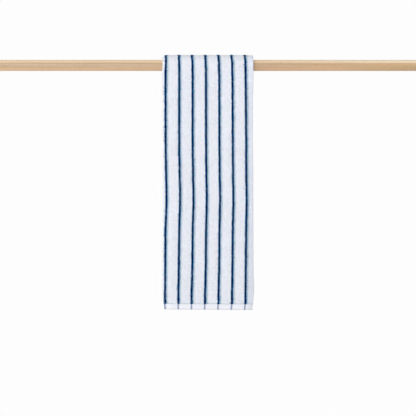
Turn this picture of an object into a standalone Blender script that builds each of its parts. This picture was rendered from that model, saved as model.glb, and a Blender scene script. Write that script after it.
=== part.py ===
# A striped terry bath towel, folded lengthwise in three and hung over a round wooden rod.
# +Z is up, X runs along the rod, -Y faces the viewer, and the origin is the middle of the rod's axis.
# Sizes are in millimetres, and become Blender's metres where the meshes are made.

import math
from collections import namedtuple

import bmesh
import bpy
from mathutils import Vector

MM = 0.001

# The towel as it comes off the loom
TOWEL_WIDTH = 700
STRIPE_COUNT = 19
STRIPE_PITCH = 36
STRIPE_WIDTH = 6
SELVEDGE_WIDTH = 8
HEM_HEIGHT = 15.3

# Thickness of the cloth over both faces. The blue loops stand a little above the white ones.
PILE_THICKNESS = 3.0
STRIPE_RISE = 0.6
SELVEDGE_THICKNESS = 1.6
HEM_THICKNESS = 2.2
STEP_WIDTH = 0.6  # over which the pile ends at a hem or a selvedge

# The rod
ROD_DIAMETER = 30
ROD_LENGTH = 1200
ROD_CHAMFER = 1.5
ROD_SIDES = 64
ROD_CLEARANCE = 0.45

# The fold in three, seen along the hanging cloth. The face shows the middle third. The third on the
# right is folded behind it, and the third on the left behind both, so it lies next to the rod.
LAYER_PITCH = 4.5
FACE_WIDTH = 244.6
FIRST_STRIPE_ON_FACE = 6
FIRST_STRIPE_INSET = 7.3  # from the left fold's outside to the middle of that stripe
LEFT_DIP = 2.8  # the face sinks towards the left fold, past the middle layer's free edge
LEFT_DIP_WIDTH = 19
RIGHT_DROOP = 3.0  # and bends back at the right fold, past the inner layer's free edge
RIGHT_DROOP_WIDTH = 15

# Steps of the mesh over the rod, around each fold and along each bend
ARCH_STEPS = 12
LEFT_FOLD_STEPS = 8
RIGHT_FOLD_STEPS = 6
BEND_STEPS = 4

# How far the hems hang below the rod's axis, at the middle, and their slope down to the right.
# The inner layers have the shorter way over the rod, so they hang lower: a fan is how far the
# innermost layer's free corner comes below the face's hem, and the middle layer's half as far.
FRONT_DROP = 658.1
FRONT_SLOPE = 0.0066
FRONT_FAN = 0.4
BACK_DROP = 655.0
BACK_SLOPE = -0.004
BACK_FAN = 6.0

# Where the panel's left edge, first stripe, last stripe and right edge lie at each drop below the
# rod's axis, how far the panel stands out from the plumb line there, and what share of its dip and
# droop it has: near the rod the layers are pulled taut, and the folds stand up
Row = namedtuple("Row", "drop left first_stripe last_stripe right bow sink")
FRONT_ROWS = (
    Row(0.0, -122.7, -113.4, 100.3, 122.5, 0.0, 0.35),
    Row(25.0, -123.6, -114.0, 100.9, 122.7, 0.5, 0.45),
    Row(100.0, -122.9, -114.2, 101.6, 120.5, 1.5, 0.7),
    Row(235.0, -121.5, -113.6, 102.4, 120.9, 0.6, 0.85),
    Row(300.0, -122.2, -112.5, 102.8, 121.9, 0.0, 0.9),
    Row(365.0, -122.2, -111.5, 103.7, 121.9, -0.7, 0.95),
    Row(430.0, -121.9, -113.9, 102.5, 122.2, -0.6, 1.0),
    Row(565.0, -121.9, -115.0, 101.2, 122.8, 0.6, 1.0),
    Row(612.0, -122.2, -115.4, 100.6, 124.0, 1.1, 1.0),
    Row(FRONT_DROP - HEM_HEIGHT, -119.6, -114.9, 100.3, 120.8, 1.4, 1.0),
    Row(FRONT_DROP, -117.9, -114.0, 98.8, 118.6, 1.5, 1.0),
)
CROWN_ROW = Row(0.0, -122.6, -113.2, 98.5, 121.8, 0.0, 0.3)
BACK_ROWS = (
    Row(0.0, -124.8, -113.0, 100.4, 122.4, 0.0, 0.35),
    Row(45.0, -124.6, -113.5, 101.2, 122.5, 0.9, 0.5),
    Row(170.0, -122.5, -114.2, 102.3, 121.2, 1.2, 0.8),
    Row(340.0, -121.9, -113.1, 103.2, 121.5, -0.6, 1.0),
    Row(500.0, -122.8, -114.4, 101.9, 122.6, -1.4, 1.0),
    Row(BACK_DROP - HEM_HEIGHT, -121.4, -114.6, 100.4, 121.4, -0.4, 1.0),
    Row(BACK_DROP, -119.2, -114.3, 99.2, 120.2, -0.2, 1.0),
)

WHITE = (0.86, 0.88, 0.92, 1.0)
BLUE = (0.006, 0.028, 0.105, 1.0)
WOOD = (0.62, 0.42, 0.26, 1.0)

# The cloth where it is thickest, and the layers' distances from the rod's axis
STRIPE_THICKNESS = PILE_THICKNESS + 2 * STRIPE_RISE
ROD_RADIUS = ROD_DIAMETER / 2
INNER_LAYER = ROD_RADIUS + ROD_CLEARANCE + STRIPE_THICKNESS / 2
MIDDLE_LAYER = INNER_LAYER + LAYER_PITCH
FACE_LAYER = INNER_LAYER + 2 * LAYER_PITCH

# The folds, and where stripes and edges lie across the folded width before a row moves them
LEFT_FOLD_RADIUS = LAYER_PITCH - LEFT_DIP / 2
RIGHT_FOLD_RADIUS = LAYER_PITCH / 2
LEFT_FOLD_X = -FACE_WIDTH / 2 + PILE_THICKNESS / 2 + LEFT_FOLD_RADIUS
RIGHT_FOLD_X = FACE_WIDTH / 2 - PILE_THICKNESS / 2 - RIGHT_FOLD_RADIUS
FIRST_STRIPE_X = -FACE_WIDTH / 2 + FIRST_STRIPE_INSET
LAST_STRIPE_X = FIRST_STRIPE_X + FIRST_STRIPE_ON_FACE * STRIPE_PITCH
UNMOVED = (-FACE_WIDTH / 2, FIRST_STRIPE_X, LAST_STRIPE_X, FACE_WIDTH / 2)

# Distances across the cloth, from the inner layer's free edge, at which the folds begin and end
STRIPE_MARGIN = (TOWEL_WIDTH - (STRIPE_COUNT - 1) * STRIPE_PITCH) / 2
FACE_START = STRIPE_MARGIN + FIRST_STRIPE_ON_FACE * STRIPE_PITCH - (FIRST_STRIPE_X - LEFT_FOLD_X)
LEFT_FOLD_START = FACE_START - math.pi * LEFT_FOLD_RADIUS
FACE_END = FACE_START + RIGHT_FOLD_X - LEFT_FOLD_X
MIDDLE_START = FACE_END + math.pi * RIGHT_FOLD_RADIUS


def eased(share):
    share = min(1.0, max(0.0, share))
    return share * share * (3 - 2 * share)


def dip_at(x, sink):
    return LEFT_DIP * sink * eased((LEFT_FOLD_X + LEFT_DIP_WIDTH - x) / LEFT_DIP_WIDTH)


def droop_at(x, sink):
    return RIGHT_DROOP * sink * eased((x - RIGHT_FOLD_X + RIGHT_DROOP_WIDTH) / RIGHT_DROOP_WIDTH)


def folded(across, sink):
    """Place across the folded width, and distance from the rod's axis, of a line of the cloth."""
    if across < LEFT_FOLD_START:
        return LEFT_FOLD_X + LEFT_FOLD_START - across, INNER_LAYER
    if across < FACE_START:
        angle = (across - LEFT_FOLD_START) / LEFT_FOLD_RADIUS
        rise = (LAYER_PITCH - LEFT_DIP * sink / 2) * (1 - math.cos(angle))
        return LEFT_FOLD_X - LEFT_FOLD_RADIUS * math.sin(angle), INNER_LAYER + rise
    if across < FACE_END:
        x = LEFT_FOLD_X + across - FACE_START
        return x, FACE_LAYER - dip_at(x, sink) - droop_at(x, sink)
    if across < MIDDLE_START:
        angle = (across - FACE_END) / RIGHT_FOLD_RADIUS
        down = RIGHT_DROOP * sink + RIGHT_FOLD_RADIUS * (1 - math.cos(angle))
        return RIGHT_FOLD_X + RIGHT_FOLD_RADIUS * math.sin(angle), FACE_LAYER - down
    x = RIGHT_FOLD_X - (across - MIDDLE_START)
    return x, MIDDLE_LAYER - droop_at(x, sink)


def fan_at(across):
    """Share of the fan at a line of the cloth: none on the face, whole at the innermost free edge."""
    if across < LEFT_FOLD_START:
        return 1 - across / LEFT_FOLD_START
    if across > MIDDLE_START:
        return (across - MIDDLE_START) / (TOWEL_WIDTH - MIDDLE_START) / 2
    return 0.0


def even_steps(start, end, count):
    return [start + (end - start) * step / count for step in range(count + 1)]


def lines_across():
    """Distances across the cloth at which the mesh has a line: stripes, selvedges, folds and bends."""
    lines = [0.0, SELVEDGE_WIDTH, SELVEDGE_WIDTH + STEP_WIDTH]
    lines += [TOWEL_WIDTH - line for line in lines]
    for stripe in range(STRIPE_COUNT):
        middle = STRIPE_MARGIN + stripe * STRIPE_PITCH
        lines += [middle - STRIPE_WIDTH / 2, middle, middle + STRIPE_WIDTH / 2]
    lines += even_steps(LEFT_FOLD_START, FACE_START, LEFT_FOLD_STEPS)
    lines += even_steps(FACE_START, FACE_START + LEFT_DIP_WIDTH, BEND_STEPS)
    lines += even_steps(FACE_END - RIGHT_DROOP_WIDTH, FACE_END, BEND_STEPS)
    lines += even_steps(FACE_END, MIDDLE_START, RIGHT_FOLD_STEPS)
    lines += even_steps(MIDDLE_START, MIDDLE_START + RIGHT_DROOP_WIDTH, BEND_STEPS)
    kept = []
    for line in sorted(lines):
        if not kept or line - kept[-1] > STEP_WIDTH / 2:
            kept.append(line)
    return kept


def off_stripe(across):
    """Distance from the middle of the nearest stripe, in half stripe widths."""
    stripe = round((across - STRIPE_MARGIN) / STRIPE_PITCH)
    return abs(across - STRIPE_MARGIN - stripe * STRIPE_PITCH) / (STRIPE_WIDTH / 2)


def thickness_at(across, is_hem):
    if is_hem:
        return HEM_THICKNESS
    if min(across, TOWEL_WIDTH - across) < SELVEDGE_WIDTH + STEP_WIDTH / 2:
        return SELVEDGE_THICKNESS
    return PILE_THICKNESS + 2 * STRIPE_RISE * max(0.0, 1 - off_stripe(across))


def between(low, high, share):
    return Row(*(a + (b - a) * share for a, b in zip(low, high)))


def placed_across(x, row):
    """Moves a place across the folded width to where the row's edges and stripes lie."""
    moved = (row.left, row.first_stripe, row.last_stripe, row.right)
    part = sum(x > place for place in UNMOVED[1:3])
    share = (x - UNMOVED[part]) / (UNMOVED[part + 1] - UNMOVED[part])
    return moved[part] + share * (moved[part + 1] - moved[part])


def hanging(side, row, total_drop, slope, fan):
    """A function that lays a line of the cloth on a panel: side is -1 in front and 1 behind."""

    def lay(across):
        x, out = folded(across, row.sink)
        lower = row.drop / total_drop * (slope * x + fan * fan_at(across))
        return Vector((placed_across(x, row), side * (out + row.bow), -row.drop - lower))

    return lay


def over_the_rod(angle, row):
    """The same over the rod, the angle running from the front over the top to the back."""

    def lay(across):
        x, out = folded(across, row.sink)
        return Vector((placed_across(x, row), -out * math.cos(angle), out * math.sin(angle)))

    return lay


def panel_stations(side, rows, total_drop, slope, fan):
    """Cross-lines of a panel from below the rod to its hem, as (lay, is_hem) pairs."""
    hem_top = between(rows[-2], rows[-1], STEP_WIDTH / HEM_HEIGHT)
    in_pile = [(row, False) for row in rows[1:-1]]
    in_hem = [(hem_top, True), (rows[-1], True)]
    return [(hanging(side, row, total_drop, slope, fan), is_hem) for row, is_hem in in_pile + in_hem]


def stations():
    """Every cross-line from the front hem over the rod to the back hem."""
    arch = []
    for step in range(ARCH_STEPS + 1):
        done = 2 * step / ARCH_STEPS
        if done <= 1:
            row = between(FRONT_ROWS[0], CROWN_ROW, done)
        else:
            row = between(CROWN_ROW, BACK_ROWS[0], done - 1)
        arch.append((over_the_rod(math.pi * step / ARCH_STEPS, row), False))
    front = panel_stations(-1, FRONT_ROWS, FRONT_DROP, FRONT_SLOPE, FRONT_FAN)
    back = panel_stations(1, BACK_ROWS, BACK_DROP, BACK_SLOPE, BACK_FAN)
    return front[::-1] + arch + back


def plain_material(name, colour, roughness):
    material = bpy.data.materials.new(name)
    material.use_nodes = True
    shader = material.node_tree.nodes["Principled BSDF"]
    shader.inputs["Base Color"].default_value = colour
    shader.inputs["Roughness"].default_value = roughness
    return material


def lay_cloth(mesh):
    """The cloth's middle surface, a grid of its lines laid over the rod. The first vertex group holds
    the thickness at each point, as a share of a stripe's, and faces in a stripe are blue."""
    bm = bmesh.new()
    weights = bm.verts.layers.deform.new()
    columns = lines_across()
    rows = []
    for lay, is_hem in stations():
        row = []
        for across in columns:
            vertex = bm.verts.new(lay(across) * MM)
            vertex[weights][0] = thickness_at(across, is_hem) / STRIPE_THICKNESS
            row.append(vertex)
        rows.append(row)
    for row, next_row in zip(rows, rows[1:]):
        for left in range(len(columns) - 1):
            face = bm.faces.new((row[left], row[left + 1], next_row[left + 1], next_row[left]))
            face.smooth = True
            face.material_index = int(off_stripe((columns[left] + columns[left + 1]) / 2) < 1)
    bmesh.ops.recalc_face_normals(bm, faces=bm.faces)
    bm.to_mesh(mesh)
    bm.free()


def make_towel():
    """One sheet of terry, hems and selvedges in one with it, thickened over its middle surface."""
    mesh = bpy.data.meshes.new("towel")
    mesh.materials.append(plain_material("white terry", WHITE, 0.95))
    mesh.materials.append(plain_material("blue terry", BLUE, 0.95))
    lay_cloth(mesh)

    towel = bpy.data.objects.new("towel", mesh)
    bpy.context.scene.collection.objects.link(towel)
    thicken = towel.modifiers.new("cloth thickness", "SOLIDIFY")
    thicken.thickness = STRIPE_THICKNESS * MM
    thicken.offset = 0.0
    thicken.vertex_group = towel.vertex_groups.new(name="thickness").name
    thicken.use_quality_normals = True


def make_rod():
    """A round rod, sawn square and chamfered at both ends."""
    bpy.ops.mesh.primitive_cylinder_add(
        vertices=ROD_SIDES, radius=ROD_RADIUS * MM, depth=ROD_LENGTH * MM, rotation=(0, math.pi / 2, 0)
    )
    rod = bpy.context.active_object
    rod.name = "rod"
    rod.data.name = "rod"
    rod.data.materials.append(plain_material("pale wood", WOOD, 0.45))
    rod.data.shade_smooth()
    rod.data.set_sharp_from_angle(angle=math.radians(30))
    chamfer = rod.modifiers.new("end chamfers", "BEVEL")
    chamfer.width = ROD_CHAMFER * MM
    chamfer.segments = 1
    chamfer.limit_method = "ANGLE"
    chamfer.angle_limit = math.radians(60)


for old in list(bpy.data.objects):
    bpy.data.objects.remove(old)
make_rod()
make_towel()
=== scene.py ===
# A striped terry bath towel, folded lengthwise in three and hung over a round beech rod.
# The frame is in metres, +Z up, with the rod along X. Sizes of the cloth are in millimetres.
import math
from collections import namedtuple

import bpy
import numpy as np
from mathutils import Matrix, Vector


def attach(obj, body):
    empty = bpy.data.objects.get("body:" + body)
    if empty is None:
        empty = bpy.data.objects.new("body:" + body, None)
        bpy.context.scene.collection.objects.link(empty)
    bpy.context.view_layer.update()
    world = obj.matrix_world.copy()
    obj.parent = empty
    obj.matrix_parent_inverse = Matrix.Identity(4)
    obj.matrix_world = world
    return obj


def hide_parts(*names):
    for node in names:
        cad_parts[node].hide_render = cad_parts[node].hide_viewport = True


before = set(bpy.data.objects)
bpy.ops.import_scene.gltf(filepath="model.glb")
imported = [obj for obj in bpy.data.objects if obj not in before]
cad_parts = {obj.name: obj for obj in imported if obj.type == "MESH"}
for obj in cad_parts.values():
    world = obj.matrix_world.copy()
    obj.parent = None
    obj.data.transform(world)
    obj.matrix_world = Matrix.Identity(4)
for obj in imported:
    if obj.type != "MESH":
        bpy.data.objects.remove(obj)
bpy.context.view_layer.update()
mm = 0.001
print("frame loaded:", sorted(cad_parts))


# Small helpers

def linear(code):
    # sRGB hex to the linear colour that shaders take
    parts = [int(code[at:at + 2], 16) / 255 for at in (1, 3, 5)]
    return tuple(p / 12.92 if p <= 0.04045 else ((p + 0.055) / 1.055) ** 2.4 for p in parts) + (1.0,)


def connect(tree, node, links):
    # links maps a socket's name or number to a value, a colour's hex code, another socket, or a node,
    # which gives the first of its outputs that is in use
    for name, source in links.items():
        if isinstance(source, str):
            source = linear(source)
        if isinstance(source, bpy.types.Node):
            source = next(output for output in source.outputs if output.enabled)
        if isinstance(source, bpy.types.NodeSocket):
            tree.links.new(source, node.inputs[name])
        else:
            node.inputs[name].default_value = source


def addNode(tree, kind, links=None, **settings):
    # kind is the node's type, less the word ShaderNode
    node = tree.nodes.new("ShaderNode" + kind)
    for name, value in settings.items():
        setattr(node, name, value)
    connect(tree, node, links or {})
    return node


smooth = {"interpolation_type": "SMOOTHSTEP"}  # for a map range that eases in and out


def unevenness(tree, place, size, looks, unit=1.0):
    # noise whose marks have this size along each axis; unit is a millimetre, as place measures it
    scale = tuple(1 / (length * unit) for length in size)
    stretched = addNode(tree, "Mapping", {"Vector": place, "Scale": scale})
    return addNode(tree, "TexNoise", {"Vector": stretched, "Scale": 1.0, **looks})


def newMaterial(name):
    material = bpy.data.materials.new(name)
    material.use_nodes = True
    return material, material.node_tree, material.node_tree.nodes["Principled BSDF"]


def eased(share):
    share = np.clip(share, 0.0, 1.0)
    return share * share * (3 - 2 * share)


def pieceFromArrays(name, points, faces, clothPlace, material, values=None, bakePlace=None):
    # points in millimetres; clothPlace holds each point's place on the flat cloth, across and along;
    # values are named numbers that the material reads at each point; bakePlace is where a point goes in
    # a baked image of the colours, if not in its place on the cloth
    mesh = bpy.data.meshes.new(name)
    mesh.from_pydata((points * mm).tolist(), [], faces.tolist())
    mesh.materials.append(material)
    mesh.shade_smooth()
    corners = np.empty(len(mesh.loops), np.int32)
    mesh.loops.foreach_get("vertex_index", corners)
    laidOut = clothPlace if bakePlace is None else bakePlace
    low, size = laidOut.min(0), np.ptp(laidOut, axis=0)
    flatSize = np.array([cloth["width"], pathLength])
    for mapName, place in (("cloth", clothPlace / flatSize), ("OFBake", (laidOut - low) / size)):
        placeMap = mesh.uv_layers.new(name=mapName)
        placeMap.data.foreach_set("uv", place[corners].astype(np.float32).ravel())
    for valueName, value in (values or {}).items():
        layer = mesh.attributes.new(valueName, "FLOAT", "POINT")
        layer.data.foreach_set("value", value.astype(np.float32))
    piece = bpy.data.objects.new(name, mesh)
    bpy.context.scene.collection.objects.link(piece)
    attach(piece, "root")
    print(name, "made of", len(faces), "faces")
    return piece


# The cloth: its flat sizes, and how it is folded and hung

cloth = {
    "width": 700.0,
    "length": 1400.0,
    "stripeCount": 19,
    "stripesOnFace": 7,
    "firstStripeOnFace": 6,
    "stripePitch": 36.0,
    "stripeWidth": 6.0,
    "stripeRise": 0.6,
    "selvedge": 8.0,
    "selvedgeThickness": 1.6,
    "hem": 15.3,
    "hemThickness": 2.2,
    "roundEdge": 0.9,  # the selvedge and the turned hem are rounded over this much of their edge
    "rimStart": 0.08,  # but for this share of it, which leaves some thickness at the rim
    "pileThickness": 3.0,
    "stepWidth": 0.6,  # over which the pile begins, beside the hem and the selvedge
    "loopedGround": 0.5,  # where loops stand on the face, the ground is only this far above the middle
    "loopedFade": 3.0,  # and it sinks to that over this much of the cloth
    "layerPitch": 4.5,
    "innerLayer": 17.55,  # the innermost layer's distance from the rod's axis
    "leftDip": 2.8,
    "leftDipWidth": 19.0,
    "rightDroop": 3.0,
    "rightDroopWidth": 15.0,
    "frontDrop": 658.1,
    "frontSlope": 0.0066,
    "frontFan": 0.4,
    "backDrop": 655.0,
    "backSlope": -0.004,
    "backFan": 6.0,
    "plumbStart": 20.0,  # a panel is out of plumb only from this far below the rod
}

# Where the edges and the outer stripes lie at each drop below the rod's axis, how far the panel stands
# out from plumb, what share of their dip and droop the folds have there, and how far the stripes
# between the outer ones lean to the right
Row = namedtuple("Row", "drop left firstStripe lastStripe right bow sink lean")
frontRows = (
    Row(658.1, -117.9, -114.0, 98.8, 118.6, 1.5, 1.0, -0.9),
    Row(642.8, -119.6, -114.9, 100.3, 120.8, 1.4, 1.0, -0.7),
    Row(612.0, -122.2, -115.4, 100.6, 124.0, 1.1, 1.0, -0.6),
    Row(565.0, -121.9, -115.0, 101.2, 122.8, 0.6, 1.0, 0.3),
    Row(430.0, -121.9, -113.9, 102.5, 122.2, -0.6, 1.0, 0.8),
    Row(365.0, -122.2, -111.5, 103.7, 121.9, -0.7, 0.95, 0.6),
    Row(300.0, -122.2, -112.5, 102.8, 121.9, 0.0, 0.9, 0.5),
    Row(235.0, -121.5, -113.6, 102.4, 120.9, 0.6, 0.85, 0.4),
    Row(100.0, -122.9, -114.2, 101.6, 120.5, 1.5, 0.7, 0.9),
    Row(25.0, -123.6, -114.0, 100.9, 122.7, 0.5, 0.45, 0.9),
    Row(0.0, -122.7, -113.4, 100.3, 122.5, 0.0, 0.35, 0.3),
)
crownRow = Row(0.0, -122.6, -113.2, 98.5, 121.8, 0.0, 0.3, -0.9)
backRows = (
    Row(0.0, -124.8, -113.0, 100.4, 122.4, 0.0, 0.35, 0.2),
    Row(45.0, -124.6, -113.5, 101.2, 122.5, 0.9, 0.5, 0.7),
    Row(170.0, -122.5, -114.2, 102.3, 121.2, 1.2, 0.8, 0.3),
    Row(340.0, -121.9, -113.1, 103.2, 121.5, -0.6, 1.0, -0.5),
    Row(500.0, -122.8, -114.4, 101.9, 122.6, -1.4, 1.0, 0.4),
    Row(639.7, -121.4, -114.6, 100.4, 121.4, -0.4, 1.0, -0.3),
    Row(655.0, -119.2, -114.3, 99.2, 120.2, -0.2, 1.0, -0.4),
)

# Soft ridges and troughs that run down a panel: where one starts and ends below the rod, its place
# across at both ends, its width, and its height, with a trough below zero. The front is side -1.
Crease = namedtuple("Crease", "side start end startX endX width height")
creases = (
    Crease(-1, 60, 470, -62, -70, 30, 0.7),
    Crease(-1, 180, 640, 34, 22, 34, -0.7),
    Crease(-1, 90, 380, 78, 84, 24, 0.6),
    Crease(-1, 330, 650, -30, -46, 26, -0.5),
    Crease(-1, 420, 640, 66, 58, 28, 0.6),
    Crease(1, 70, 420, -48, -66, 34, 0.9),
    Crease(1, 240, 640, 20, 40, 38, -0.9),
    Crease(1, 100, 560, 74, 66, 26, 0.7),
)
creaseFade = 0.25  # a crease fades out over this share of its length at each end

middleLayer = cloth["innerLayer"] + cloth["layerPitch"]
faceLayer = middleLayer + cloth["layerPitch"]
leftRadius = cloth["layerPitch"] - cloth["leftDip"] / 2
rightRadius = cloth["layerPitch"] / 2

# Distances across the cloth, from the inner layer's free edge, of the face's outer stripes
stripeMargin = (cloth["width"] - (cloth["stripeCount"] - 1) * cloth["stripePitch"]) / 2
firstStripeAt = stripeMargin + cloth["firstStripeOnFace"] * cloth["stripePitch"]
lastStripeAt = firstStripeAt + (cloth["stripesOnFace"] - 1) * cloth["stripePitch"]

# Distances along the cloth, from the front hem, by way of the middle layer
archStart = cloth["frontDrop"]
archEnd = archStart + math.pi * middleLayer
pathLength = archEnd + cloth["backDrop"]


def smoothCurve(at, knots, values):
    # a smooth curve through the values, with each slope taken from its neighbours
    knots, values = np.array(knots), np.array(values)
    slopes = np.gradient(values, knots)
    span = np.clip(np.searchsorted(knots, at, "right") - 1, 0, len(knots) - 2)
    wide = knots[span + 1] - knots[span]
    t = (at - knots[span]) / wide
    keep = (1 + 2 * t) * (1 - t) ** 2
    come = t * t * (3 - 2 * t)
    lift = wide * (t * (1 - t) ** 2 * slopes[span] + t * t * (t - 1) * slopes[span + 1])
    return keep * values[span] + come * values[span + 1] + lift


rowKnots = [archStart - row.drop for row in frontRows]
rowKnots += [(archStart + archEnd) / 2] + [archEnd + row.drop for row in backRows]
allRows = frontRows + (crownRow,) + backRows


def rowValue(name, along):
    return smoothCurve(along, rowKnots, [getattr(row, name) for row in allRows])


Folds = namedtuple("Folds", "leftX rightX leftStart faceStart faceEnd rightEnd")


def foldsAt(along):
    # both folds wander across the cloth: each one's place across the panel, and where on the cloth the
    # left fold starts, where the face starts and ends, and where the right fold ends
    leftX = rowValue("left", along) + cloth["pileThickness"] / 2 + leftRadius
    rightX = rowValue("right", along) - cloth["pileThickness"] / 2 - rightRadius
    faceStart = firstStripeAt - rowValue("firstStripe", along) + leftX
    faceEnd = lastStripeAt - rowValue("lastStripe", along) + rightX
    leftStart, rightEnd = faceStart - math.pi * leftRadius, faceEnd + math.pi * rightRadius
    return Folds(leftX, rightX, leftStart, faceStart, faceEnd, rightEnd)


def placedOnFace(across, along):
    # place across the panel, with the outer stripes where they lie there and the rest between them
    first, last = rowValue("firstStripe", along), rowValue("lastStripe", along)
    share = (across - firstStripeAt) / (lastStripeAt - firstStripeAt)
    between = np.clip(share, 0, 1)
    margin = np.minimum(across - firstStripeAt, 0) + np.maximum(across - lastStripeAt, 0)
    lean = rowValue("lean", along) * np.sin(math.pi * between ** 0.7)  # most left of the middle
    return first + (last - first) * between + margin + lean


def foldedPlace(across, along):
    # place across the panel, distance from the rod's axis, and share of the fan, of which the face has
    # none and the innermost free edge has all
    leftX, rightX, leftStart, faceStart, faceEnd, rightEnd = foldsAt(along)
    sink = rowValue("sink", along)
    leftHeight = cloth["layerPitch"] - cloth["leftDip"] / 2 * sink
    leftAngle = (across - leftStart) / leftRadius
    rightAngle = (across - faceEnd) / rightRadius
    faceX = placedOnFace(across, along)
    dipped = (leftX + cloth["leftDipWidth"] - faceX) / cloth["leftDipWidth"]
    dip = cloth["leftDip"] * sink * eased(dipped)
    ways = [across < line for line in (leftStart, faceStart, faceEnd, rightEnd)]
    x = np.select(ways, [
        leftX + leftStart - across,
        leftX - leftRadius * np.sin(leftAngle),
        faceX,
        rightX + rightRadius * np.sin(rightAngle),
    ], rightX - (across - rightEnd))
    droop = eased((x - rightX + cloth["rightDroopWidth"]) / cloth["rightDroopWidth"])
    droop = cloth["rightDroop"] * sink * droop
    out = np.select(ways, [
        cloth["innerLayer"] + 0 * across,
        cloth["innerLayer"] + leftHeight * (1 - np.cos(leftAngle)),
        faceLayer - dip - droop,
        faceLayer - cloth["rightDroop"] * sink - rightRadius * (1 - np.cos(rightAngle)),
    ], middleLayer - droop)
    fan = np.select([ways[0], across > rightEnd], [
        1 - across / leftStart,
        (across - rightEnd) / (cloth["width"] - rightEnd) / 2,
    ], 0.0)
    return x, out, fan


def creaseHeight(side, drop, x):
    height = 0 * x
    for crease in creases:
        way = (drop - crease.start) / (crease.end - crease.start)
        middle = crease.startX + (crease.endX - crease.startX) * way
        fade = eased(way / creaseFade) * eased((1 - way) / creaseFade) * (side == crease.side)
        height = height + crease.height * fade * np.exp(-((x - middle) / (crease.width / 2)) ** 2)
    return height


def hangCloth(across, along):
    # the middle surface of the cloth where it hangs, in millimetres
    across, along = np.broadcast_arrays(across, along)
    x, out, fanned = foldedPlace(across, along)
    angle = np.clip((along - archStart) / middleLayer, 0, math.pi)
    front, back = along < archStart, along > archEnd
    side = np.where(front, -1, np.where(back, 1, 0))
    drop = np.where(front, archStart - along, np.where(back, along - archEnd, 0.0))
    total = np.where(front, cloth["frontDrop"], cloth["backDrop"])
    slope = np.where(front, cloth["frontSlope"], cloth["backSlope"])
    fan = np.where(front, cloth["frontFan"], cloth["backFan"])
    lower = drop / total * (slope * x + fan * fanned)
    bow = rowValue("bow", along) * eased(drop / cloth["plumbStart"]) + creaseHeight(side, drop, x)
    return np.stack([
        x,
        -(out + bow) * np.cos(angle),
        out * np.sin(angle) - drop - lower,
    ], -1)


# The ground cloth: one closed sheet, finer where it shows

sheetSteps = {
    "face": 4.4,  # millimetres between lines across
    "hidden": 11.0,
    "folds": 0.75,
    "bends": 3.0,
    "least": 0.45,
    "selvedge": (0.0, 0.5, 1.2),  # lines from its edge inwards
    "along": 9.0,
    "arch": 36,
    "hem": (0.0, 0.35, 0.9, 2.0, 5.0, 9.0),  # lines from its lower edge up
    "aboveHem": (2.5, 6.0),  # one line, and where the even ones begin
}
hemStitch = {
    "belowPile": 2.2,
    "pitch": 3.0,
    "length": 2.3,
    "thickness": 0.55,
    "groove": 0.3,
    "grooveReach": 0.9,
    "sides": 5,
    # places along a stitch, and its width there, as shares
    "rings": ((-0.5, 0.35), (-0.32, 0.9), (0.0, 1.0), (0.32, 0.9), (0.5, 0.35)),
    "sunk": 0.6,  # of the thread's radius
    "endMargin": 2.0,  # from the cloth's edge
    "twistScale": 1.0,  # the wave texture then has a band every 0.63 mm, as this thread's twist
    "twist": 0.2,
    "twistStrength": 0.4,
    "roughness": 0.8,
}


def spread(start, end, step):
    return np.linspace(start, end, max(2, int(round((end - start) / step)) + 1))


def linesAcross():
    half, inside = cloth["stripeWidth"] / 2, cloth["width"] - cloth["selvedge"]
    edge = [*sheetSteps["selvedge"], cloth["selvedge"], cloth["selvedge"] + cloth["stepWidth"]]
    kept = edge + [cloth["width"] - line for line in edge]
    for stripe in range(cloth["stripeCount"]):
        middle = stripeMargin + stripe * cloth["stripePitch"]
        kept += [middle - half, middle, middle + half]
    kept.sort()
    folds = foldsAt(np.array(rowKnots))
    leftStart, faceStart = folds.leftStart.min(), folds.faceStart.max()
    faceEnd, rightEnd = folds.faceEnd.min(), folds.rightEnd.max()
    bend = rightEnd + cloth["rightDroopWidth"]
    for start, end, step in (
        (leftStart, faceStart, "folds"),
        (faceEnd, rightEnd, "folds"),
        (rightEnd, bend, "bends"),
        (cloth["selvedge"], leftStart, "hidden"),
        (faceStart, faceEnd, "face"),
        (bend, inside, "hidden"),
    ):
        for line in spread(start, end, sheetSteps[step]):
            if min(abs(line - other) for other in kept) > sheetSteps["least"]:
                kept.append(line)
    return np.array(sorted(kept))


def linesAlong():
    hem, reach = cloth["hem"], hemStitch["grooveReach"]
    stitch, (low, high) = hem - hemStitch["belowPile"], sheetSteps["aboveHem"]
    edge = [*sheetSteps["hem"], stitch - reach, stitch, stitch + reach]
    edge += [hem - cloth["stepWidth"], hem, hem + low]
    front = list(spread(hem + high, archStart, sheetSteps["along"]))
    arch = list(np.linspace(archStart, archEnd, sheetSteps["arch"] + 1)[1:-1])
    back = list(spread(archEnd, pathLength - hem - high, sheetSteps["along"]))
    return np.array(edge + front + arch + back + [pathLength - line for line in edge[::-1]])


def fromHem(along):
    return np.minimum(along, pathLength - along)


def onFace(across, along):
    # one where loops stand on the cloth, and nothing on its inner layers
    folds, fade = foldsAt(along), cloth["loopedFade"]
    return eased((across - folds.leftStart) / fade) * eased((folds.rightEnd - across) / fade)


def onRightFold(across, along):
    # from nothing on the flat face to one on the right fold
    reach = terry["rightFoldReach"]
    return eased((across - foldsAt(along).faceEnd + reach) / reach)


def paintedFoldShade(across, along):
    # painted shade over the face's folds, where the pile turns away from the light; on the right mostly
    # where the fold is sunk deepest
    left = eased((foldsAt(along).faceStart - across) / terry["leftFoldReach"])
    right = terry["rightFoldShade"] * rowValue("sink", along) ** 5 * onRightFold(across, along)
    return 1 - terry["leftFoldShade"] * left - right


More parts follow.
